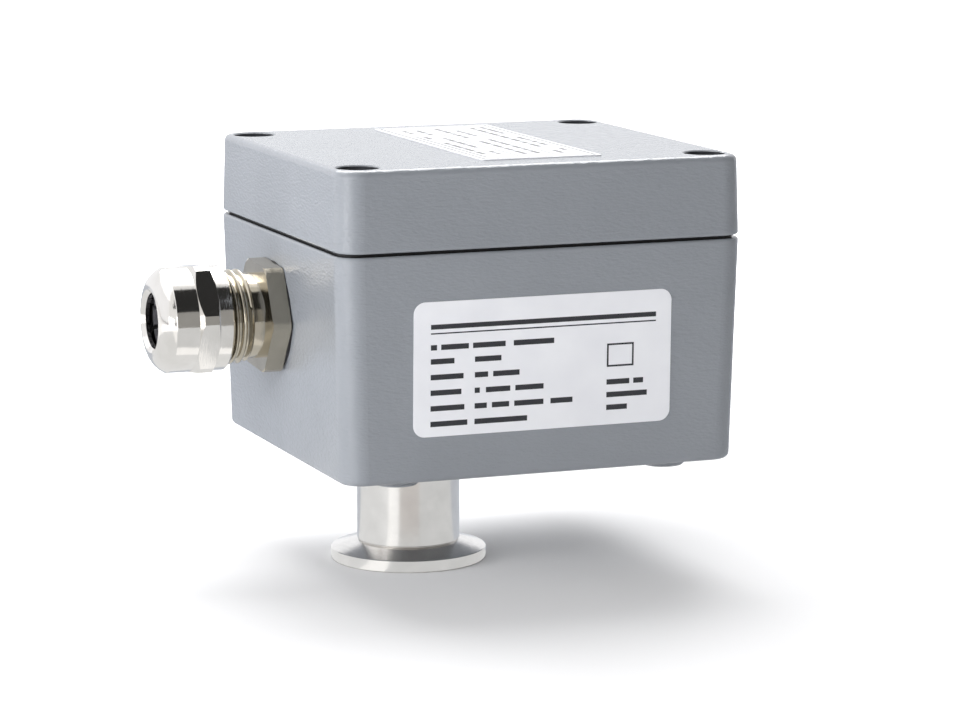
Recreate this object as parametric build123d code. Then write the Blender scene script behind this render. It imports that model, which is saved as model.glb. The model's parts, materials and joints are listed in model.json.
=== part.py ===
"""Vacuum pressure switch: a die-cast housing on a DN16 small-flange port, with a cable gland.

Millimetres. The origin is the centre of the flange's sealing face, +Z runs up the port,
the label faces -Y and the cable gland points along -X.
"""

import os
from math import cos, pi, radians, sin, tan

from build123d import *

# Housing, a drafted aluminium casting: a base and a lid on one parting plane.
width = 80.0
depth = 75.0
corner_radius = 4.5
draft = 0.024
housing_x = 13.7
base_bottom = 22.1
parting = 64.6
lid_top = 79.9
parting_gap = 0.55
wall = 2.8
floor = 3.5
roof = 3.0
lip_radius = 0.5
edge_radius = 1.2

# Corner columns, which carry the lid screws and the fixing holes outside the seal.
lid_screw_x = 34.4
lid_screw_y = 30.7
fixing_x = 26.8
fixing_y = 29.5
column_x = 21.2
column_y = 24.7
column_radius = 4.4
counterbore_radius = 3.95
counterbore_lip = 0.25
lid_seat = 70.0
lid_screw_radius = 1.97
lid_screw_clearance = 2.25
fixing_hole_radius = 2.2
fixing_counterbore = 3.55
pad_radius = 4.1
pad_height = 1.15
pad_root = 0.5

# Cable gland, M16: stations run outwards from the wall plane at the gland's height.
gland_z = 48.7
gland_y = 2.3
gland_across_flats = 20.0
gland_corner = 11.2
body_turn = -4.0
wall_to_hex = 0.4
hex_thickness = 3.6
spigot_end = 17.6
cap_rear = 10.9
cap_band_start = 14.3
cap_band_end = 17.2
cap_crease = 22.1
cap_nose = 24.75
cap_radius = 9.95
cap_turn = 6.0
entry_radius = 5.25
body_thread = 9.0
inner_thread = 8.0
inner_thread_length = 9.5
undercut_radius = 8.15
cable_way = 5.6
cage_seat = 7.7
nut_seat = 3.7
nut_seat_radius = 12.2

# Port: DN16 small flange, tube and the M16 neck that passes the housing floor.
flange_radius = 15.0
flange_rim = 2.35
flange_cone = 15.0
recess_radius = 8.6
recess_depth = 5.0
tube_radius = 9.9
tube_start = 3.9
relief_radius = 9.65
bore_radius = 8.0
neck_radius = 8.0
neck_top = 31.5
pocket_radius = 6.6
pocket_floor = 20.5
web_floor = 18.0
gas_hole_radius = 2.0

# Board and what stands on it. Its own frame is the housing's axis.
board_bottom = 35.2
board_thickness = 1.6
board_left = -33.0
board_right = 27.0
board_half_depth = 23.0
board_screw_left = -29.0
board_screw_right = 23.0
board_screw_y = 19.3
earth_screw_x = 32.0
trimmer_size = 9.5
trimmer_height = 4.8
trimmer_screw_radius = 2.0
running_gap = 0.05

# Labels and the gasket's bead.
label_thickness = 0.15
rating_width = 51.0
rating_height = 25.0
rating_z = 43.15
wiring_width = 24.0
wiring_length = 59.4
bead_height = 1.1

base_top = parting - parting_gap / 2
lid_bottom = parting + parting_gap / 2
floor_top = base_bottom + floor
board_top = board_bottom + board_thickness
corners = [(sx, sy) for sx in (-1, 1) for sy in (-1, 1)]


def draft_at(z):
    """How far a drafted outer wall has drawn in at height z."""
    return draft * (base_top - z if z < parting else z - lid_bottom)


def turned(*points):
    """A piece turned about +Z from an outline of (radius, height) points."""
    outline = make_face(Polyline(*[(r, 0, z) for r, z in points], close=True))
    return revolve(outline, Axis.Z)


def disc(radius, low, high, x=0.0, y=0.0):
    return Pos(x, y, low) * Cylinder(radius, high - low, align=(Align.CENTER, Align.CENTER, Align.MIN))


def block(low, high):
    size = [b - a for a, b in zip(low, high)]
    return Pos(*low) * Box(*size, align=(Align.MIN, Align.MIN, Align.MIN))


def drafted(inset_low, inset_high, low, high, radius):
    """A block with the housing's outline, set in by two different amounts at its two heights."""
    ends = []
    for inset, z in ((inset_low, low), (inset_high, high)):
        outline = RectangleRounded(width - 2 * inset, depth - 2 * inset, radius)
        ends.append(Pos(housing_x, 0, z) * outline)
    return loft(ends)


def columns(low, high, grow=0.0):
    """The four corner columns, larger than the walls they merge with."""
    size_x = width / 2 - column_x + 10
    size_y = depth / 2 - column_y + 10
    outline = RectangleRounded(size_x + 2 * grow, size_y + 2 * grow, column_radius)
    found = Part()
    for sx, sy in corners:
        place = Pos(housing_x + sx * (column_x + size_x / 2), sy * (column_y + size_y / 2), low)
        found += place * extrude(outline, high - low)
    return found


def round_edges(solid, z, radius):
    """Rounds the outer edges that lie in the plane at height z."""
    found = [edge for edge in solid.edges() if abs(edge.bounding_box().min.Z - z) < 1e-4]
    level = [edge for edge in found if abs(edge.bounding_box().max.Z - z) < 1e-4]
    return fillet(level, radius)


def fixing_pad():
    """One round pad under the floor, with a soft root where it was cast."""
    top = pad_height + 0.5
    root_start = (pad_radius, 0, pad_height - pad_root)
    root_middle = (pad_radius + 0.29 * pad_root, 0, pad_height - 0.29 * pad_root)
    root_end = (pad_radius + pad_root, 0, pad_height)
    outline = Polyline((0, 0, top), (0, 0, 0), (pad_radius - 0.3, 0, 0), (pad_radius, 0, 0.3), root_start)
    outline += ThreePointArc(root_start, root_middle, root_end)
    outline += Polyline(root_end, (pad_radius + pad_root, 0, top), (0, 0, top))
    return revolve(make_face(outline), Axis.Z)


def gland_place(station):
    """Local +Z runs out of the left wall, local +X is up."""
    wall_x = housing_x - width / 2 + draft_at(gland_z)
    plane = Plane(origin=(wall_x - station, gland_y, gland_z), x_dir=(0, 0, 1), z_dir=(-1, 0, 0))
    return plane.location


def base_shell():
    solid = drafted(draft_at(base_bottom), 0, base_bottom, base_top, corner_radius)
    solid = round_edges(solid, base_bottom, edge_radius)
    return round_edges(solid, base_top, lip_radius)


def housing_base():
    cavity = drafted(wall + 1.3, wall, floor_top, base_top + 1, corner_radius - 1.5)
    cavity -= columns(floor_top - 1, base_top + 2)
    solid = base_shell() - cavity
    # Flat seat inside the wall for the gland's lock nut.
    seat = gland_place(-nut_seat) * disc(nut_seat_radius, 0, 3.0)
    solid += seat & base_shell()
    post = turned((0, floor_top - 0.5), (3.6, floor_top - 0.5), (3.0, board_bottom), (0, board_bottom))
    for x, y in board_screw_places():
        solid += Pos(x, y, 0) * post
        solid -= disc(1.27, board_bottom - 7, board_bottom + 1, x, y)
    earth_x = housing_x + earth_screw_x
    solid += disc(3.6, floor_top - 0.5, board_top + 2, earth_x, 0)
    solid -= disc(1.55, board_top - 7, board_top + 3, earth_x, 0)
    for sx, sy in corners:
        screw_x, screw_y = housing_x + sx * lid_screw_x, sy * lid_screw_y
        hold_x, hold_y = housing_x + sx * fixing_x, sy * fixing_y
        solid += Pos(hold_x, hold_y, base_bottom - pad_height) * fixing_pad()
        solid -= disc(lid_screw_radius + running_gap, base_top - 14, base_top + 1, screw_x, screw_y)
        solid -= disc(fixing_counterbore, floor_top + 1.4, base_top + 1, hold_x, hold_y)
        solid -= disc(fixing_hole_radius, base_bottom - 3, floor_top + 3, hold_x, hold_y)
    solid -= gland_place(-8) * disc(inner_thread + 0.1, 0, 12)
    solid -= disc(neck_radius + 0.1, base_bottom - 1, floor_top + 1)
    solid -= disc(relief_radius + 0.05, base_bottom - 1, base_bottom + 1.1)
    return solid


def lid_shell():
    solid = drafted(0, draft_at(lid_top), lid_bottom, lid_top, corner_radius)
    solid = round_edges(solid, lid_top, edge_radius)
    return round_edges(solid, lid_bottom, lip_radius)


def mouth(outset, low, high):
    """The outline of the housing's opening between the columns, set out by an amount."""
    inset = wall - outset
    prism = drafted(inset, inset, low, high, corner_radius - 1.5 + outset)
    return prism - columns(low - 1, high + 1, grow=-outset)


def housing_lid():
    cavity = drafted(wall, wall + 0.6, lid_bottom - 1, lid_top - roof, corner_radius - 1.5)
    cavity -= columns(lid_bottom - 2, lid_top)
    solid = lid_shell() - cavity
    groove_top = lid_bottom + bead_height + 0.1
    solid -= mouth(1.5, lid_bottom - 1, groove_top) - mouth(0.35, lid_bottom - 2, groove_top + 1)
    counterbore_edge = turned(
        (0, -counterbore_lip),
        (counterbore_radius, -counterbore_lip),
        (counterbore_radius + 2 * counterbore_lip, counterbore_lip),
        (0, counterbore_lip),
    )
    for sx, sy in corners:
        x, y = housing_x + sx * lid_screw_x, sy * lid_screw_y
        solid -= disc(counterbore_radius, lid_seat, lid_top + 1, x, y)
        solid -= Pos(x, y, lid_top) * counterbore_edge
        solid -= disc(lid_screw_clearance, lid_bottom - 1, lid_seat + 1, x, y)
    return solid


def lid_gasket():
    """One moulded sheet between the rims, with a bead that fills the lid's groove."""
    inset = 1.2
    sheet = drafted(inset, inset, base_top, lid_bottom, corner_radius - inset)
    sheet -= mouth(0, base_top - 1, lid_bottom + 1)
    bead_top = lid_bottom + bead_height
    sheet += mouth(1.4, base_top, bead_top) - mouth(0.45, base_top - 1, bead_top + 1)
    for sx, sy in corners:
        sheet -= disc(2.4, base_top - 1, lid_bottom + 1, housing_x + sx * lid_screw_x, sy * lid_screw_y)
        sheet -= disc(fixing_counterbore, base_top - 1, lid_bottom + 1, housing_x + sx * fixing_x, sy * fixing_y)
    return sheet


def cheese_head_screw(head_radius, head_height, shank_radius, length, slot_width, slot_depth):
    """A slotted screw with its head's seat at z = 0, pointing down."""
    screw = turned(
        (0, -length),
        (shank_radius - 0.3, -length),
        (shank_radius, -length + 0.3),
        (shank_radius, 0),
        (head_radius, 0),
        (head_radius, head_height - 0.35),
        (head_radius - 0.35, head_height),
        (0, head_height),
    )
    slot = block(
        (-head_radius - 1, -slot_width / 2, head_height - slot_depth),
        (head_radius + 1, slot_width / 2, head_height + 1),
    )
    return screw - slot


def lid_screws():
    screws = []
    for sx, sy in corners:
        turn = Rot(0, 0, 35 + 50 * sx + 20 * sy)
        place = Pos(housing_x + sx * lid_screw_x, sy * lid_screw_y, lid_seat)
        screws.append(place * turn * cheese_head_screw(3.5, 2.6, lid_screw_radius, 17, 1.0, 1.2))
    return screws


def rating_label():
    """A film plate on the front face, parallel to the drafted wall."""
    y = -(depth / 2 - draft_at(rating_z))
    face = Plane(origin=(housing_x - 0.6, y, rating_z), x_dir=(1, 0, 0), z_dir=(0, -1, -draft))
    return extrude(face * RectangleRounded(rating_width, rating_height, 2.2), label_thickness)


def wiring_label():
    """The narrow film label that runs front to back across the lid."""
    sheet = RectangleRounded(wiring_width, wiring_length, 0.6)
    return Pos(housing_x + 2.6, 1.3, lid_top) * extrude(sheet, label_thickness)


def hexagon(across_flats, corner, low, high, turn=0.0, flat=None, chamfer_low=True, chamfer_high=True):
    """A hexagon along +Z, its corners turned to a radius and chamfered down to the flat's radius."""
    outline = RegularPolygon(across_flats / 2, 6, major_radius=False, rotation=90 + turn)
    prism = Pos(0, 0, low) * extrude(outline, high - low)
    flat = flat or across_flats / 2 - 0.1
    step = (corner - flat) * tan(radians(30))
    outline = [(0, low)]
    outline += [(flat, low), (corner, low + step)] if chamfer_low else [(corner, low)]
    outline += [(corner, high - step), (flat, high)] if chamfer_high else [(corner, high)]
    bar = turned(*outline, (0, high))
    return prism & bar


def gland_body():
    hex_start = wall_to_hex
    hex_end = hex_start + hex_thickness
    solid = hexagon(gland_across_flats, gland_corner, hex_start, hex_end, body_turn, flat=10.9, chamfer_low=False)
    solid += turned(
        (0, hex_start - inner_thread_length),
        (inner_thread - 0.6, hex_start - inner_thread_length),
        (inner_thread, hex_start - inner_thread_length + 0.6),
        (inner_thread, hex_start - 0.8),
        (inner_thread, hex_end - 1),
        (undercut_radius, hex_end - 1),
        (undercut_radius, hex_end + 2.4),
        (body_thread, hex_end + 2.85),
        (body_thread, spigot_end - 0.5),
        (body_thread - 0.5, spigot_end),
        (0, spigot_end),
    )
    bore = turned(
        (0, -20),
        (cable_way, -20),
        (cable_way, 8.2),
        (cage_seat, 10.0),
        (cage_seat, 20),
        (0, 20),
    )
    return gland_place(0) * (solid - bore)


def gland_cap_nut():
    """The domed cap: nose, front barrel, hexagon band and rear collar, bored for the cage."""
    outside = Line((0, 0, cap_rear), (cap_radius - 0.4, 0, cap_rear))
    outside += Line(outside @ 1, (cap_radius, 0, cap_rear + 0.4))
    outside += Line(outside @ 1, (cap_radius, 0, cap_crease))
    dome_start = (cap_radius - 0.12, 0, cap_crease + 0.12)
    outside += Line(outside @ 1, dome_start)
    outside += ThreePointArc(dome_start, (8.55, 0, cap_nose - 0.95), (6.3, 0, cap_nose - 0.05))
    outside += Line(outside @ 1, (entry_radius + 0.75, 0, cap_nose))
    outside += Line(outside @ 1, (0, 0, cap_nose))
    outside += Line(outside @ 1, (0, 0, cap_rear))
    solid = revolve(make_face(outside), Axis.Z)
    band_low = cap_band_start - 0.6
    band_high = cap_band_end + 0.6
    solid += hexagon(gland_across_flats, 11.1, band_low, band_high, turn=cap_turn)
    bore = turned(
        (0, cap_rear - 1),
        (body_thread + 0.45, cap_rear - 1),
        (body_thread + 0.45, cap_rear),
        (body_thread + 0.05, cap_rear + 0.4),
        (body_thread + 0.05, 18.4),
        (8.2, 18.9),
        (6.5, 22.6),
        (entry_radius, 23.2),
        (entry_radius, cap_nose - 0.75),
        (entry_radius + 0.75, cap_nose),
        (entry_radius + 0.75, cap_nose + 1),
        (0, cap_nose + 1),
    )
    return gland_place(0) * (solid - bore)


def gland_clamp_insert():
    """The lamellar cage: a ring with eight fingers that close on the cable."""
    fingers = 8
    cage = turned(
        (6.35, 10.2),
        (7.5, 10.2),
        (7.6, 17.6),
        (8.05, 17.7),
        (8.05, 18.3),
        (6.35, 22.3),
        (4.75, 22.5),
        (4.75, 21.0),
        (6.35, 18.4),
    )
    slot = block((4, -0.45, 14.5), (10, 0.45, 24))
    for turn in range(fingers):
        cage -= Rot(0, 0, 360 * (turn + 0.5) / fingers) * slot
    return gland_place(0) * cage


def gland_seal_insert():
    """The soft ring inside the cage, with the hole that takes the cable."""
    ring = turned((4.3, 10.4), (6.1, 10.4), (6.3, 11.0), (6.3, 18.0), (4.9, 20.4), (4.3, 20.4))
    return gland_place(0) * ring


def gland_o_ring():
    """Squeezed between the hexagon and the drafted wall, so it takes the wall's slope."""
    inner, outer = inner_thread + 0.1, 10.2
    ring = turned((inner, -2), (outer, -2), (outer, wall_to_hex), (inner, wall_to_hex))
    return gland_place(0) * ring - base_shell()


def gland_lock_nut():
    low, high = -nut_seat - 2.8, -nut_seat
    nut = hexagon(19.0, 10.7, low, high)
    return gland_place(0) * (nut - disc(inner_thread + 0.03, low - 1, high + 1))


def vacuum_port():
    """Flange, tube, neck and sensor pocket, turned from one bar."""
    cone_top = flange_rim + (flange_radius - relief_radius) * tan(radians(flange_cone))
    solid = turned(
        (recess_radius + 0.2, 0),
        (flange_radius - 0.2, 0),
        (flange_radius, 0.2),
        (flange_radius, flange_rim - 0.1),
        (flange_radius - 0.15, flange_rim),
        (relief_radius, cone_top),
        (relief_radius, tube_start - 0.05),
        (tube_radius - 0.15, tube_start),
        (tube_radius, tube_start + 0.15),
        (tube_radius, base_bottom),
        (neck_radius - 0.4, base_bottom),
        (neck_radius - 0.4, base_bottom + 1.4),
        (neck_radius, base_bottom + 1.8),
        (neck_radius, neck_top - 0.6),
        (neck_radius - 0.6, neck_top),
        (pocket_radius, neck_top),
        (pocket_radius, pocket_floor),
        (gas_hole_radius, pocket_floor),
        (gas_hole_radius, web_floor),
        (bore_radius, web_floor - 2.0),
        (bore_radius, recess_depth + 0.35),
        (recess_radius, recess_depth),
        (recess_radius, 0.2),
    )
    return solid


def port_o_ring():
    """Squeezed in the floor's recess, round the neck."""
    low, high = base_bottom, base_bottom + 1.1
    inner, outer = neck_radius - 0.35, relief_radius
    return turned(
        (inner + 0.25, low),
        (outer - 0.25, low),
        (outer, low + 0.25),
        (outer, high - 0.25),
        (outer - 0.25, high),
        (inner + 0.25, high),
        (inner, high - 0.25),
        (inner, low + 0.25),
    )


def port_lock_nut():
    nut = hexagon(22.0, 12.4, floor_top, floor_top + 4.0, turn=15)
    return nut - disc(neck_radius + 0.03, floor_top - 1, floor_top + 5)


def sensor_cell():
    """A welded steel pressure cell: corrugated diaphragm below, O-ring groove round the side."""
    radius = pocket_radius - 0.05
    low, high = pocket_floor, pocket_floor + 6.5
    return turned(
        (0, low + 0.5),
        (1.2, low + 0.5),
        (1.6, low + 0.35),
        (2.2, low + 0.65),
        (2.8, low + 0.35),
        (3.4, low + 0.65),
        (4.0, low + 0.35),
        (4.6, low + 0.5),
        (4.9, low),
        (radius - 0.2, low),
        (radius, low + 0.2),
        (radius, low + 2.2),
        (5.35, low + 2.2),
        (5.35, low + 4.1),
        (radius, low + 4.1),
        (radius, high - 0.2),
        (radius - 0.2, high),
        (5.2, high),
        (5.0, high - 0.4),
        (0, high - 0.4),
    )


def sensor_o_ring():
    low, high = pocket_floor + 2.45, pocket_floor + 3.85
    return turned(
        (5.6, low),
        (6.3, low),
        (6.58, low + 0.3),
        (6.58, high - 0.3),
        (6.3, high),
        (5.6, high),
        (5.37, high - 0.3),
        (5.37, low + 0.3),
    )


def sensor_retaining_ring():
    low, high = pocket_floor + 6.5, pocket_floor + 9.5
    ring = turned((4.2, low), (pocket_radius - 0.05, low), (pocket_radius - 0.05, high), (4.2, high))
    return ring - block((-8, -0.75, high - 1.2), (8, 0.75, high + 1))


def sensor_pin_places():
    return [(2.6 * cos(2 * pi * k / 5), 2.6 * sin(2 * pi * k / 5)) for k in range(5)]


def sensor_pins():
    low, high = pocket_floor + 6.1, board_top + 1.4
    return [disc(0.3, low, high, x, y) for x, y in sensor_pin_places()]


def board_screw_places():
    across = (housing_x + board_screw_left, housing_x + board_screw_right)
    return [(x, y) for x in across for y in (-board_screw_y, board_screw_y)]


def circuit_board():
    low = (housing_x + board_left, -board_half_depth, board_bottom)
    high = (housing_x + board_right, board_half_depth, board_top)
    board = block(low, high)
    board = fillet(board.edges().filter_by(Axis.Z), 1.5)
    for x, y in board_screw_places():
        board -= disc(1.5, board_bottom - 1, board_top + 1, x, y)
    for x, y in sensor_pin_places():
        board -= disc(0.4, board_bottom - 1, board_top + 1, x, y)
    return board


def board_screws():
    screw = cheese_head_screw(2.4, 1.7, 1.24, 7, 0.7, 0.8)
    return [Pos(x, y, board_top) * Rot(0, 0, 40 + x) * screw for x, y in board_screw_places()]


terminal_ways = 6
terminal_pitch = 5.08
terminal_x = housing_x - 10.0
terminal_y = 17.0


def terminal_places():
    first = terminal_x - (terminal_ways - 1) * terminal_pitch / 2
    return [first + k * terminal_pitch for k in range(terminal_ways)]


def terminal_block():
    """The six-way rising-clamp block, with a wire funnel and a screw shaft for each way."""
    half = terminal_ways * terminal_pitch / 2
    outline = Polyline(
        (-4.0, 0),
        (4.0, 0),
        (4.0, 6.2),
        (2.6, 7.4),
        (2.6, 10.0),
        (-2.6, 10.0),
        (-4.0, 7.4),
        close=True,
    )
    profile = Plane.YZ * make_face(outline)
    body = Pos(terminal_x - half, terminal_y, board_top) * extrude(profile, 2 * half, dir=(1, 0, 0))
    for x in terminal_places():
        body -= disc(1.75, board_top + 5.5, board_top + 11, x, terminal_y)
        body -= block((x - 1.7, terminal_y - 5, board_top + 1.2), (x + 1.7, terminal_y + 2.2, board_top + 4.4))
    return body


def terminal_screws():
    screw = cheese_head_screw(1.6, 1.4, 1.0, 1.6, 0.5, 0.7)
    return [Pos(x, terminal_y, board_top + 7.1) * Rot(0, 0, 25 * k) * screw for k, x in enumerate(terminal_places())]


def relay():
    """Sealed changeover relay, a moulded cover over its base."""
    low = (housing_x + 6, 4.5, board_top)
    high = (housing_x + 6 + 15.2, 4.5 + 10.5, board_top + 11.5)
    cover = block(low, high)
    cover = fillet(cover.edges().filter_by(Axis.Z), 0.9)
    return fillet(cover.faces().sort_by(Axis.Z)[-1].edges(), 0.5)


setpoint_place = (housing_x + 15.0, -14.0)
zero_place = (housing_x + 3.0, -14.0)


def trimmer_body(place):
    """A square trimmer case, open at the top for its adjusting screw."""
    x, y = place
    half = trimmer_size / 2
    case = block((x - half, y - half, board_top), (x + half, y + half, board_top + trimmer_height))
    case = chamfer(case.edges().filter_by(Axis.Z), 0.5)
    bore = trimmer_screw_radius + running_gap
    return case - disc(bore, board_top + 2.2, board_top + trimmer_height + 1, x, y)


def trimmer_screw(place):
    """The slotted rotor that a screwdriver turns."""
    x, y = place
    radius = trimmer_screw_radius
    low = board_top + 2.2 + running_gap
    high = board_top + trimmer_height - 0.2
    rotor = turned((0, low), (radius, low), (radius, high - 0.3), (radius - 0.3, high), (0, high))
    rotor -= block((-3, -0.3, high - 0.9), (3, 0.3, high + 1))
    return Pos(x, y, 0) * rotor


def voltage_regulator():
    """Three-leg regulator lying on its tab, with the tab's hole."""
    x, y = housing_x - 10.0, -15.5
    tab = block((x - 7.5, y - 5.0, board_top), (x + 7.5, y + 5.0, board_top + 1.3))
    tab -= disc(1.9, board_top - 1, board_top + 3, x - 4.6, y)
    case = block((x - 1.5, y - 5.0, board_top + 1.3), (x + 7.5, y + 5.0, board_top + 4.5))
    top = case.faces().sort_by(Axis.Z)[-1].edges()
    return tab + chamfer(top, 0.6)


def filter_capacitor():
    """Upright electrolytic can with its rolled groove and pressed top."""
    low = board_top
    can = turned(
        (0, low),
        (3.6, low),
        (4.0, low + 0.4),
        (4.0, low + 1.6),
        (3.6, low + 2.0),
        (4.0, low + 2.4),
        (4.0, low + 11.1),
        (3.6, low + 11.5),
        (0, low + 11.5),
    )
    mark = block((-3, -0.2, low + 11.2), (3, 0.2, low + 12))
    return Pos(housing_x + 13.5, -2.5, 0) * (can - mark - Rot(0, 0, 90) * mark)


def amplifier_chip():
    """Eight-pin package on the board between the sensor and the trimmers."""
    x, y = housing_x + 1.0, -2.0
    body = block((x - 2.5, y - 2.0, board_top + 0.2), (x + 2.5, y + 2.0, board_top + 1.7))
    body = chamfer(body.edges().filter_by(Axis.Z), 0.2)
    for k in range(4):
        pin = x - 1.905 + 1.27 * k
        body += block((pin - 0.2, y - 3.0, board_top), (pin + 0.2, y + 3.0, board_top + 0.45))
    return body


def earth_screw():
    seat = board_top + 2.0 + 0.9
    screw = cheese_head_screw(3.5, 2.4, 1.5, 7, 0.9, 1.1)
    return Pos(housing_x + earth_screw_x, 0, seat) * Rot(0, 0, 60) * screw


def earth_washer():
    """Toothed washer that bites the casting under the earth screw."""
    low = board_top + 2.0
    washer = disc(3.55, low, low + 0.9) - disc(1.6, low - 1, low + 2)
    for k in range(8):
        washer -= Rot(0, 0, 45 * k) * block((3.0, -0.35, low - 1), (4.5, 0.35, low + 2))
    return Pos(housing_x + earth_screw_x, 0, 0) * washer


nodes = {
    "housing_base": housing_base,
    "housing_lid": housing_lid,
    "lid_gasket": lid_gasket,
    "lid_screws": lid_screws,
    "rating_label": rating_label,
    "wiring_label": wiring_label,
    "gland_body": gland_body,
    "gland_cap_nut": gland_cap_nut,
    "gland_clamp_insert": gland_clamp_insert,
    "gland_seal_insert": gland_seal_insert,
    "gland_o_ring": gland_o_ring,
    "gland_lock_nut": gland_lock_nut,
    "vacuum_port": vacuum_port,
    "port_o_ring": port_o_ring,
    "port_lock_nut": port_lock_nut,
    "sensor_cell": sensor_cell,
    "sensor_o_ring": sensor_o_ring,
    "sensor_retaining_ring": sensor_retaining_ring,
    "sensor_pins": sensor_pins,
    "circuit_board": circuit_board,
    "board_screws": board_screws,
    "terminal_block": terminal_block,
    "terminal_screws": terminal_screws,
    "relay": relay,
    "setpoint_trimmer": lambda: trimmer_body(setpoint_place),
    "setpoint_screw": lambda: trimmer_screw(setpoint_place),
    "zero_trimmer": lambda: trimmer_body(zero_place),
    "zero_screw": lambda: trimmer_screw(zero_place),
    "voltage_regulator": voltage_regulator,
    "filter_capacitor": filter_capacitor,
    "amplifier_chip": amplifier_chip,
    "earth_screw": earth_screw,
    "earth_washer": earth_washer,
}

os.makedirs("parts", exist_ok=True)
for name, make in nodes.items():
    made = make()
    piece = Compound(children=made) if isinstance(made, list) else made
    export_step(piece, f"parts/{name}.step")
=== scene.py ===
import json
import math
import random

import bmesh
import bpy
from mathutils import Matrix, Vector


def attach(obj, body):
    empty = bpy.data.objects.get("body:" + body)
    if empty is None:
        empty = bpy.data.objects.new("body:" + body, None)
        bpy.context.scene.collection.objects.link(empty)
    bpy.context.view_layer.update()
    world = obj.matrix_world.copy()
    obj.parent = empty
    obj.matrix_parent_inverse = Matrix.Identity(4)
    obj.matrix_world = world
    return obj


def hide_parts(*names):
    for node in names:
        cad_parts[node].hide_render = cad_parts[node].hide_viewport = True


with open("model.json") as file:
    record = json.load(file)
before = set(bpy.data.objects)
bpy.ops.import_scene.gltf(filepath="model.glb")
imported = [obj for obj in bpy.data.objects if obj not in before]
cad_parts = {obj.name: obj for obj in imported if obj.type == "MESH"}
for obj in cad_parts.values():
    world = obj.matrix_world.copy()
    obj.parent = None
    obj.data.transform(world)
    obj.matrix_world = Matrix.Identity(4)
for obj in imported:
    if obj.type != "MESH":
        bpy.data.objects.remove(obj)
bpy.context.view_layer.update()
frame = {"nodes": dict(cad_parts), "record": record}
nodes = frame["nodes"]
mm = 0.001
print("frame loaded")


# Places that the CAD fixes, in millimetres.
housing = {
    "centreX": 13.7, "frontY": -37.5, "lidTop": 79.9, "baseTop": 64.325, "draft": 0.024,
    "lidScrewX": 34.4, "lidScrewY": 30.7, "holeRadius": 3.98, "gapZ": 64.6, "halfGap": 0.285,
}
film = 0.15  # how far both labels stand out
glandAxis = {"wallX": -25.926, "y": 2.3, "z": 48.7}


# Colour and node helpers.
def linearColour(code):
    parts = [int(code[k:k + 2], 16) / 255 for k in (0, 2, 4)]
    return [p / 12.92 if p <= 0.04045 else ((p + 0.055) / 1.055) ** 2.4 for p in parts] + [1.0]


def addNode(tree, kind, inputs=None, **settings):
    node = tree.nodes.new("ShaderNode" + kind)
    for name, value in settings.items():
        setattr(node, name, value)
    for socket, value in (inputs or {}).items():
        if isinstance(value, bpy.types.NodeSocket):
            tree.links.new(value, node.inputs[socket])
        else:
            node.inputs[socket].default_value = value
    return node


def startMaterial(name, **constants):
    material = bpy.data.materials.new(name)
    material.use_nodes = True
    tree = material.node_tree
    shader = tree.nodes["Principled BSDF"]
    for socket, value in constants.items():
        shader.inputs[socket.replace("_", " ")].default_value = value
    return material, tree, shader


def position(tree, stretch=(1, 1, 1)):
    # The point on the object in millimetres, stretched for a pattern.
    point = addNode(tree, "TexCoord").outputs["Object"]
    scale = [part / mm for part in stretch]
    return addNode(tree, "VectorMath", {0: point, 1: scale}, operation="MULTIPLY").outputs[0]


def noise(tree, place, scale, detail=2.0, rough=0.5):
    found = addNode(tree, "TexNoise", {"Vector": place, "Scale": scale, "Detail": detail, "Roughness": rough})
    return found.outputs["Fac"]


def maths(tree, operation, *values):
    return addNode(tree, "Math", dict(enumerate(values)), operation=operation).outputs[0]


def spread(tree, value, low, high):
    # Noise in 0.3 to 0.7 laid out between two values.
    inputs = {"Value": value, "From Min": 0.3, "From Max": 0.7, "To Min": low, "To Max": high}
    return addNode(tree, "MapRange", inputs).outputs["Result"]


def mixColours(tree, factor, first, second):
    # The sockets of a Mix node in colour mode are its last two inputs and its third output.
    node = addNode(tree, "Mix", {0: factor, 6: first, 7: second}, data_type="RGBA")
    return node.outputs[2]


def mottle(tree, pattern, colours):
    # Two close colours, mixed by a slow pattern.
    first, second = map(linearColour, colours)
    return mixColours(tree, spread(tree, pattern, 0.0, 1.0), first, second)


def bump(tree, height, depth, normal=None):
    # Relief of the given depth in millimetres.
    inputs = {"Height": height, "Distance": depth * mm, "Strength": 1.0}
    if normal:
        inputs["Normal"] = normal
    return addNode(tree, "Bump", inputs).outputs["Normal"]


def connect(tree, shader, **sockets):
    for name, value in sockets.items():
        tree.links.new(value, shader.inputs[name.replace("_", " ")])


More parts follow.
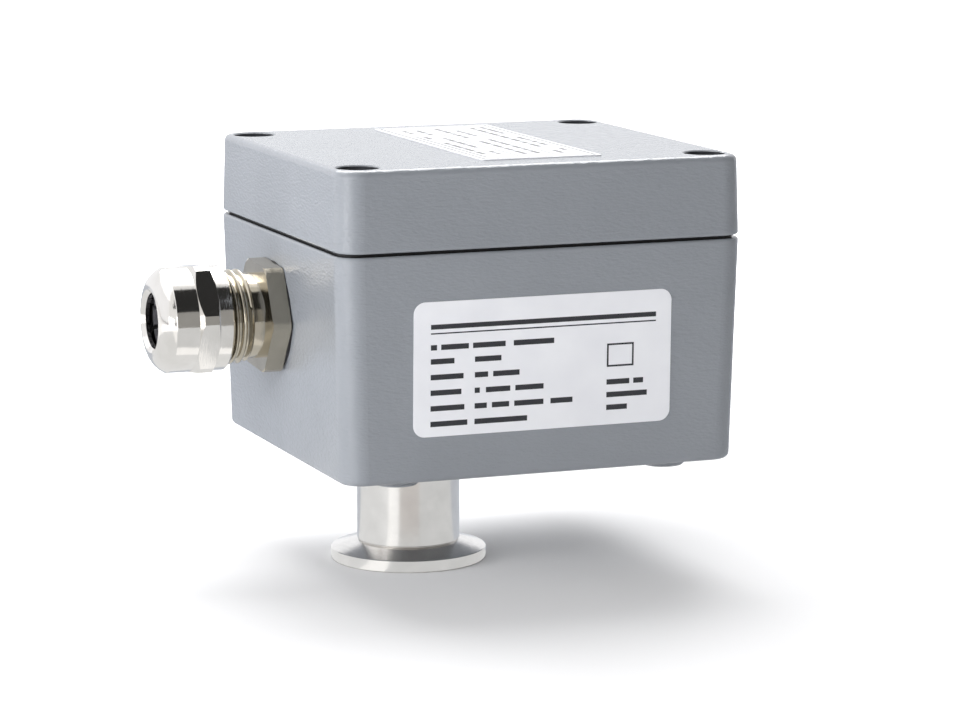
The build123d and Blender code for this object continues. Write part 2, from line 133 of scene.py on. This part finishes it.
# Materials.
def powderCoat():
    # Powder coat on a casting: glossy, over an orange peel of about a millimetre, so the broad faces
    # ripple where the room's edge is mirrored in them and the rounded edges glitter.
    material, tree, shader = startMaterial("grey_powder_coat")
    place = position(tree)
    paint = mottle(tree, noise(tree, place, 0.04, 3), ("8A8E94", "90949A"))
    parts = addNode(tree, "SeparateXYZ", {0: place})
    # Painted shade: the screw holes are coloured dark grey and the faces that meet on the gasket near black,
    # for the shade deep in them.
    fromCentre = maths(tree, "SUBTRACT", parts.outputs[0], housing["centreX"])
    fromX = maths(tree, "SUBTRACT", maths(tree, "ABSOLUTE", fromCentre), housing["lidScrewX"])
    fromY = maths(tree, "SUBTRACT", maths(tree, "ABSOLUTE", parts.outputs[1]), housing["lidScrewY"])
    squares = [maths(tree, "POWER", distance, 2.0) for distance in (fromX, fromY)]
    radius = maths(tree, "SQRT", maths(tree, "ADD", *squares))
    inHole = maths(tree, "LESS_THAN", radius, housing["holeRadius"])
    fromGap = maths(tree, "ABSOLUTE", maths(tree, "SUBTRACT", parts.outputs[2], housing["gapZ"]))
    inGap = maths(tree, "LESS_THAN", fromGap, housing["halfGap"])
    paintedShade = mixColours(tree, inGap, linearColour("3C3E42"), linearColour("141416"))
    colour = mixColours(tree, maths(tree, "MAXIMUM", inHole, inGap), paint, paintedShade)
    peel = noise(tree, position(tree, (1, 1, 2.6)), 0.85, 2)
    pebble = noise(tree, place, 2.4, 2)
    normal = bump(tree, pebble, 0.006, bump(tree, peel, 0.11))
    connect(tree, shader, Base_Color=colour, Normal=normal, Roughness=spread(tree, pebble, 0.13, 0.19))
    return material


def turnedMetal(name, colours, rough, axis, relief, lines=6.0, broken=0.05):
    # Turned metal: fine rings across the axis, which draw reflections out along it. Real rings are finer
    # than a pixel, so they are drawn four to six to the millimetre. The more broken they are, the sooner
    # a ring fades on its way round.
    material, tree, shader = startMaterial(name, Metallic=1.0)
    stretch = [1.0 if letter == axis else broken for letter in "XYZ"]
    rings = noise(tree, position(tree, stretch), lines, 3, 0.6)
    colour = mottle(tree, noise(tree, position(tree), 0.25, 3), colours)
    shine = spread(tree, rings, rough * 0.8, rough * 1.25)
    connect(tree, shader, Base_Color=colour, Normal=bump(tree, rings, relief), Roughness=shine)
    return material


def moulded(name, colours, rough, grain, relief):
    # Moulded plastic or rubber: slow colour change with a fine grain from the mould's wall.
    material, tree, shader = startMaterial(name)
    place = position(tree)
    colour = mottle(tree, noise(tree, place, 0.15, 3), colours)
    fine = noise(tree, place, grain, 2)
    shine = spread(tree, fine, rough * 0.85, rough * 1.15)
    connect(tree, shader, Base_Color=colour, Normal=bump(tree, fine, relief), Roughness=shine)
    return material


def labelFilm():
    # Printed polyester film: smooth and satin, with a faint unevenness from the glue under it.
    material, tree, shader = startMaterial("label_film", Coat_Weight=0.3, Coat_Roughness=0.25)
    cloud = noise(tree, position(tree), 0.12, 2)
    colour = mottle(tree, cloud, ("E9EAEF", "EFF0F4"))
    shine = spread(tree, cloud, 0.3, 0.36)
    connect(tree, shader, Base_Color=colour, Normal=bump(tree, cloud, 0.01), Roughness=shine)
    return material


def printInk():
    # Screen-printed ink, thinner in places so the bars aren't one flat tone.
    material, tree, shader = startMaterial("print_ink")
    fine = noise(tree, position(tree), 3.0, 2)
    colour = mottle(tree, fine, ("26272B", "33343A"))
    connect(tree, shader, Base_Color=colour, Roughness=spread(tree, fine, 0.4, 0.55))
    return material


def boardLaminate():
    # Glass-fibre laminate under solder mask: the copper's pattern shows as lighter green lines.
    shine = {"Roughness": 0.3, "Coat_Weight": 0.4, "Coat_Roughness": 0.15}
    material, tree, shader = startMaterial("board_laminate", **shine)
    place = position(tree)
    pattern = {"Vector": place, "Scale": 0.16, "Mortar Size": 0.035, "Mortar Smooth": 0.1}
    traces = addNode(tree, "TexBrick", pattern)
    colour = mixColours(tree, traces.outputs["Fac"], linearColour("16542A"), linearColour("2A7A42"))
    weave = noise(tree, place, 1.8, 2)
    connect(tree, shader, Base_Color=colour, Normal=bump(tree, weave, 0.01))
    return material


materials = {
    "grey_powder_coat": powderCoat(),
    "nickel_plate": turnedMetal("nickel_plate", ("B0A99A", "BAB3A4"), 0.13, "X", 0.008),
    "polished_nickel": turnedMetal("polished_nickel", ("DEDBD6", "E6E3DF"), 0.1, "X", 0.014, 4.0, 0.12),
    "stainless_steel": turnedMetal("stainless_steel", ("DCDAD7", "E4E2DF"), 0.19, "Z", 0.008),
    "screw_steel": turnedMetal("screw_steel", ("B4B4B2", "C2C2C0"), 0.3, "Z", 0.008),
    "label_film": labelFilm(),
    "black_rubber": moulded("black_rubber", ("1A1A1C", "222224"), 0.6, 1.6, 0.02),
    # black_nylon is coloured mid grey, not black: painted light, so the gland's cage shows deep in its bore.
    "black_nylon": moulded("black_nylon", ("56565A", "626165"), 0.34, 1.2, 0.02),
    "chip_resin": moulded("chip_resin", ("1D1D20", "28282B"), 0.42, 1.2, 0.02),
    "gilt_pin": turnedMetal("gilt_pin", ("D8B45A", "E3C26C"), 0.2, "Z", 0.004),
    "board_laminate": boardLaminate(),
    "terminal_plastic": moulded("terminal_plastic", ("1F7A3C", "268A46"), 0.45, 1.5, 0.015),
    "relay_plastic": moulded("relay_plastic", ("1E2C4A", "243456"), 0.3, 1.0, 0.01),
    "trimmer_plastic": moulded("trimmer_plastic", ("1F55A8", "2862B8"), 0.35, 1.5, 0.01),
    "capacitor_sleeve": moulded("capacitor_sleeve", ("20222C", "2A2D38"), 0.25, 0.8, 0.01),
    "brass": turnedMetal("brass", ("C9A65A", "D6B56C"), 0.25, "Z", 0.006),
    "print_ink": printInk(),
}

# The cap nut is polished before it is plated, and the body it turns on is not. Chips are cast in near-black
# resin;
# the gland's cage is coloured mid grey, not black, as painted light so that it shows deep in the gland.
ownFinish = {
    "gland_cap_nut": "polished_nickel",
    "voltage_regulator": "chip_resin",
    "amplifier_chip": "chip_resin",
}

for part in frame["record"]["subparts"]:
    piece = nodes[part["node"]]
    piece.data.materials.clear()
    piece.data.materials.append(materials[ownFinish.get(part["node"], part["material_slot"])])
print("materials set")


# Mesh helpers.
def finishPiece(mesh, name, slot, material=None, body="housing", sharp=30):
    bmesh.ops.remove_doubles(mesh, verts=mesh.verts, dist=0.0000005)
    bmesh.ops.recalc_face_normals(mesh, faces=mesh.faces)
    for face in mesh.faces:
        face.smooth = True
    for edge in mesh.edges:
        edge.smooth = edge.is_manifold and edge.calc_face_angle(4) < math.radians(sharp)
    data = bpy.data.meshes.new(name)
    mesh.to_mesh(data)
    mesh.free()
    # Normals stored with a CAD mesh don't fit a form that was changed.
    if "custom_normal" in data.attributes:
        data.attributes.remove(data.attributes["custom_normal"])
    piece = bpy.data.objects.new(name, data)
    bpy.context.scene.collection.objects.link(piece)
    data.materials.append(materials[material or slot])
    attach(piece, body)
    return piece


def glandPoint(station, radius, angle):
    # A point on the gland: stations run out of the wall, angle 0 is up.
    x = glandAxis["wallX"] - station
    y = glandAxis["y"] + radius * math.sin(angle)
    z = glandAxis["z"] + radius * math.cos(angle)
    return Vector((x, y, z)) * mm


def aboutGland(vertex):
    # The vertex's station and radius on the gland, in millimetres.
    x, y, z = vertex.co / mm
    return glandAxis["wallX"] - x, math.hypot(y - glandAxis["y"], z - glandAxis["z"])


# The gland's body with its thread's root turned down, and the thread itself as one ridge. Outside the
# wall, points beyond the blank's radius belong to the solid's plain thread; its end face lies past the nose.
thread = {
    "pitch": 1.5, "crest": 8.97, "root": 8.08, "start": 6.45, "end": 17.3, "steps": 72,
    "blank": 8.3, "nose": 17.4, "sunk": 0.1, "flank": 0.6, "flat": 0.14, "rounding": 0.04, "taper": 1.4,
}


def setRadius(vertex, radius):
    station, old = aboutGland(vertex)
    axis = Vector((vertex.co.x, glandAxis["y"] * mm, glandAxis["z"] * mm))
    vertex.co = axis + (vertex.co - axis) * (radius / old)


def glandBody():
    mesh = bmesh.new()
    mesh.from_mesh(nodes["gland_body"].data)
    for vertex in mesh.verts:
        station, radius = aboutGland(vertex)
        if station > thread["start"] and radius > thread["blank"]:
            setRadius(vertex, thread["root"] - (thread["sunk"] if station > thread["nose"] else 0.0))
    piece = finishPiece(mesh, "gland_body_turned", "nickel_plate", sharp=20)
    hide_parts("gland_body")


def glandThread():
    pitch, crest, root = thread["pitch"], thread["crest"], thread["root"]
    flank, flat, sunk = thread["flank"], thread["flat"], thread["sunk"]
    side = [(-1.1 * flank, root - sunk), (-flank, root), (-flat, crest - thread["rounding"])]
    profile = side + [(0, crest)] + [(-across, radius) for across, radius in reversed(side)]
    mesh = bmesh.new()
    first = thread["start"] - pitch / 3
    corners = [mesh.verts.new(glandPoint(first + across, radius, 0)) for across, radius in profile]
    section = mesh.faces.new(corners)
    turns = (thread["end"] - first) / pitch
    steps = int(turns * thread["steps"])
    centre = glandPoint(0, 0, 0)
    step = Vector((-pitch * turns / steps * mm, 0, 0))
    geometry = list(section.verts) + list(section.edges) + [section]
    turn = -2 * math.pi * turns
    bmesh.ops.spin(mesh, geom=geometry, cent=centre, axis=(1, 0, 0), dvec=step, angle=turn, steps=steps)
    # Both ends run out on a short taper, as a die leaves them.
    for vertex in mesh.verts:
        station, radius = aboutGland(vertex)
        limit = root - sunk + min(station - thread["start"], thread["end"] - station) * thread["taper"]
        if radius > limit:
            setRadius(vertex, max(limit, root - 1.5 * sunk))
    finishPiece(mesh, "gland_thread", "nickel_plate", sharp=50)


glandBody()
glandThread()
print("gland pieces built")


# Print on the labels: plain bars and rules only.
def addBar(mesh, place, u, v, across, up, thickness=0.008):
    # A bar from its lower left corner, on the plane that the matrix gives.
    centre = Matrix.Translation((u + across / 2, v + up / 2, thickness / 2))
    size = Matrix.Diagonal((across, up, thickness, 1))
    bmesh.ops.create_cube(mesh, size=1.0, matrix=place @ centre @ size)


def addFrame(mesh, place, u, v, across, up, line):
    addBar(mesh, place, u, v, across, line)
    addBar(mesh, place, u, v + up - line, across, line)
    addBar(mesh, place, u, v + line, line, up - 2 * line)
    addBar(mesh, place, u + across - line, v + line, line, up - 2 * line)


def labelPlace(origin, across, up, out):
    columns = Matrix((across, up.normalized(), out.normalized())).transposed().to_4x4()
    return Matrix.Scale(mm, 4) @ Matrix.Translation(origin) @ columns


rating = {
    "z": 43.15,
    "shift": -0.6,
    "rules": [(-22.2, 7.4, 44.6, 0.9), (-22.2, 6.5, 44.6, 0.25)],
    "field": (12.6, -1.6, 5.4, 4.4, 0.35),
    "bar": 1.0,
    "rise": 0.05,
    "rows": [
        (3.5, [(-22.2, 1.2), (-20.2, 5.4), (-14.0, 6.4), (-6.0, 8.0)]),
        (0.9, [(-22.2, 4.6), (-13.6, 5.2)]),
        (-2.0, [(-22.2, 6.4), (-13.6, 2.6), (-10.0, 5.2)]),
        (-4.9, [(-22.2, 6.0), (-13.6, 1.0), (-11.4, 4.8), (-5.6, 5.6)]),
        (-7.8, [(-22.2, 6.6), (-13.6, 2.4), (-10.2, 3.4), (-5.8, 5.8), (1.4, 4.4)]),
        (-10.7, [(-22.2, 7.2), (-13.6, 10.4)]),
        (-5.0, [(12.6, 4.6), (18.0, 2.0)]),
        (-7.4, [(12.6, 8.2)]),
        (-9.8, [(12.6, 4.2)]),
    ],
}


def ratingPrint():
    inward = housing["draft"] * (housing["baseTop"] - rating["z"])
    out = Vector((0, -1, -housing["draft"]))
    origin = Vector((housing["centreX"] + rating["shift"], housing["frontY"] + inward, rating["z"]))
    origin += out.normalized() * film
    place = labelPlace(origin, Vector((1, 0, 0)), Vector((0, -housing["draft"], 1)), out)
    mesh = bmesh.new()
    for rule in rating["rules"]:
        addBar(mesh, place, *rule)
    for v, words in rating["rows"]:
        for u, across in words:
            addBar(mesh, place, u, v + rating["rise"], across, rating["bar"])
    addFrame(mesh, place, *rating["field"])
    finishPiece(mesh, "rating_label_print", "label_film", "print_ink")


wiring = {
    "centreX": 16.3,
    "centreY": 1.3,
    "frame": (-11.2, -28.9, 22.4, 57.8, 0.45),
    "rules": [(-9.8, -26.0, 0.45, 38.0), (-3.4, -26.5, 0.3, 50.0), (4.0, -26.5, 0.3, 50.0)],
    "rows": (-8.6, -5.8, -1.2, 1.6, 6.0, 8.4),
    "bar": 1.0,
    "span": (-25.0, 22.0),
    "indent": 6.0,
    "word": (1.6, 4.2),
    "gaps": (0.8, 6.5),
    "closeWords": 0.8,
    "seed": 5,
}


def wiringPrint():
    origin = Vector((wiring["centreX"], wiring["centreY"], housing["lidTop"] + film))
    place = labelPlace(origin, Vector((1, 0, 0)), Vector((0, 1, 0)), Vector((0, 0, 1)))
    mesh = bmesh.new()
    addFrame(mesh, place, *wiring["frame"])
    for rule in wiring["rules"]:
        addBar(mesh, place, *rule)
    # Rows of words of uneven length, with a wide gap after about one word in five.
    pick = random.Random(wiring["seed"])
    first, last = wiring["span"]
    shortest, more = wiring["word"]
    narrow, wide = wiring["gaps"]
    for across in wiring["rows"]:
        along = first + pick.random() * wiring["indent"]
        while along < last:
            length = shortest + pick.random() * more
            addBar(mesh, place, across, along, wiring["bar"], length)
            along += length + (narrow if pick.random() < wiring["closeWords"] else wide)
    finishPiece(mesh, "wiring_label_print", "label_film", "print_ink")


ratingPrint()
wiringPrint()
print("label print built")


# Camera where the photograph's was, fitted to the housing's edges.
eye = (-0.233697, -0.640817, 0.153413)
gaze = (0.35667, 0.91936, -0.16603)
camera = bpy.data.objects.new("camera", bpy.data.cameras.new("camera"))
camera.data.lens = 134.84
camera.data.sensor_width = 36
camera.data.clip_start = 0.01
camera.data.clip_end = 20
camera.location = eye
camera.rotation_euler = Vector(gaze).to_track_quat("-Z", "Y").to_euler()
bpy.context.scene.collection.objects.link(camera)
bpy.context.scene.camera = camera


# Stage: a white floor, cards that only reflections see, a white room and two lamps. The floor glows
# from its near strength, beside the object, up to white at its far distance, in millimetres.
floor = {"near": 110.0, "far": 340.0, "glow": 0.13, "below": 0.02}


def stagePiece(mesh, name, material):
    data = bpy.data.meshes.new(name)
    mesh.to_mesh(data)
    mesh.free()
    piece = bpy.data.objects.new(name, data)
    bpy.context.scene.collection.objects.link(piece)
    data.materials.append(material)
    return piece


def floorPaper():
    # Matt white paper. The camera, and nothing else, sees it glow up to white away from the object.
    material, tree, shader = startMaterial("floor_paper", Roughness=0.9, Specular_IOR_Level=0.0)
    place = position(tree)
    cloud = noise(tree, place, 0.004, 2)
    connect(tree, shader, Base_Color=mixColours(tree, cloud, linearColour("E2E2E3"), linearColour("E5E5E6")))
    shader.inputs["Emission Color"].default_value = (1, 1, 1, 1)
    away = addNode(tree, "VectorMath", {0: place}, operation="LENGTH").outputs["Value"]
    limits = {"From Min": floor["near"], "From Max": floor["far"], "To Min": floor["glow"], "To Max": 1.0}
    glow = addNode(tree, "MapRange", {"Value": away, **limits}).outputs[0]
    seen = addNode(tree, "LightPath").outputs["Is Camera Ray"]
    connect(tree, shader, Emission_Strength=maths(tree, "MULTIPLY", glow, seen))
    return material


def cardMaterial(name, colour):
    material = bpy.data.materials.new(name)
    material.use_nodes = True
    tree = material.node_tree
    tree.nodes.clear()
    glow = addNode(tree, "Emission", {"Color": (*colour, 1), "Strength": 1.0})
    end = addNode(tree, "OutputMaterial")
    tree.links.new(glow.outputs[0], end.inputs["Surface"])
    return material


# Each card is a line of distances and heights in metres, swept about the port's axis between two
# azimuths in degrees, counted from the front towards the right. Those on the floor lie just above it.
lift = 0.00002
aroundGland = [(0.27, 0.0), (0.27, 0.165)]
aboveIt = [(0.27, 0.165), (0.17, 0.58)]
ceiling = [(1.2, 0.8), (0.8, 1.4), (0.0, 1.6)]
nearFloor = [(0.0155, lift), (0.25, lift)]
cards = {
    "card_grey": {"sweep": (-5, 92), "line": aroundGland, "colour": (0.36, 0.355, 0.34)},
    "card_dark": {"sweep": (-36, -5), "line": aroundGland, "colour": (0.05, 0.05, 0.05)},
    "card_high": {"sweep": (-58, 92), "line": aboveIt, "colour": (0.03, 0.03, 0.03)},
    "card_back": {"sweep": (75, 285), "line": [(1.2, 0.0), (1.2, 0.8)], "colour": (1.1, 1.11, 1.14)},
    "card_top": {"sweep": (75, 285), "line": ceiling, "colour": (1.5, 1.5, 1.53)},
    "card_low": {"sweep": (86, 212), "line": [(0.0155, lift), (1.19, lift)], "colour": (0.6, 0.63, 0.69)},
    "card_left": {"sweep": (-148, -62), "line": nearFloor, "colour": (0.9, 0.91, 0.92)},
    "card_bright": {"sweep": (-62, -39), "line": nearFloor, "colour": (1.2, 1.2, 1.2)},
    "card_front": {"sweep": (-39, 86), "line": nearFloor, "colour": (0.76, 0.77, 0.78)},
    "card_corner": {"sweep": (-77, -53), "line": [(0.4, 0.0), (0.4, 0.09)], "colour": (3.4, 3.4, 3.4)},
    "card_warm": {"sweep": (-37, 1.6), "line": [(0.038, 0.0), (0.038, 0.017)], "colour": (0.7, 0.67, 0.655)},
}


def addCard(name, card):
    mesh = bmesh.new()
    first, last = map(math.radians, card["sweep"])
    line = [(math.sin(first) * out, -math.cos(first) * out, up) for out, up in card["line"]]
    corners = [mesh.verts.new(point) for point in line]
    edges = [mesh.edges.new(pair) for pair in zip(corners, corners[1:])]
    turn = last - first
    bmesh.ops.spin(mesh, geom=corners + edges, cent=(0, 0, 0), axis=(0, 0, 1), angle=turn, steps=48)
    piece = stagePiece(mesh, name, cardMaterial(name, card["colour"]))
    for kind in ("camera", "diffuse", "shadow", "transmission"):
        setattr(piece, "visible_" + kind, False)


ground = bmesh.new()
below = Matrix.Translation((0, 0, -floor["below"] * mm))
bmesh.ops.create_grid(ground, x_segments=1, y_segments=1, size=6.0, matrix=below)
stagePiece(ground, "floor", floorPaper())

for name, card in cards.items():
    addCard(name, card)

roomLight = 0.28

world = bpy.data.worlds.new("white_room")
world.use_nodes = True
background = world.node_tree.nodes["Background"]
background.inputs["Color"].default_value = (1, 1, 1, 1)
# The camera and reflections see the room white; as light it is weaker.
path = addNode(world.node_tree, "LightPath")
seen = path.outputs["Is Camera Ray"]
for kind in ("Is Glossy Ray", "Is Transmission Ray"):
    seen = maths(world.node_tree, "MAXIMUM", seen, path.outputs[kind])
level = addNode(world.node_tree, "MapRange", {"Value": seen, "To Min": roomLight, "To Max": 1.0})
world.node_tree.links.new(level.outputs[0], background.inputs["Strength"])
bpy.context.scene.world = world


def areaLight(name, location, target, size, power, glossy=False):
    lamp = bpy.data.objects.new(name, bpy.data.lights.new(name, "AREA"))
    lamp.data.shape = "RECTANGLE"
    lamp.data.size, lamp.data.size_y = size
    lamp.data.energy = power
    lamp.location = location
    lamp.rotation_euler = (Vector(target) - Vector(location)).to_track_quat("-Z", "Y").to_euler()
    lamp.visible_glossy = glossy
    bpy.context.scene.collection.objects.link(lamp)


areaLight("overhead", (0.14, 0.7, 1.0), (0.01, 0, 0.05), (1.1, 1.1), 22.5, True)
areaLight("left_strip", (-0.38, -0.175, 0.15), (-0.03, -0.01, 0.05), (0.5, 0.23), 2.0)

bpy.context.scene.view_settings.view_transform = "Standard"
print("stage set")
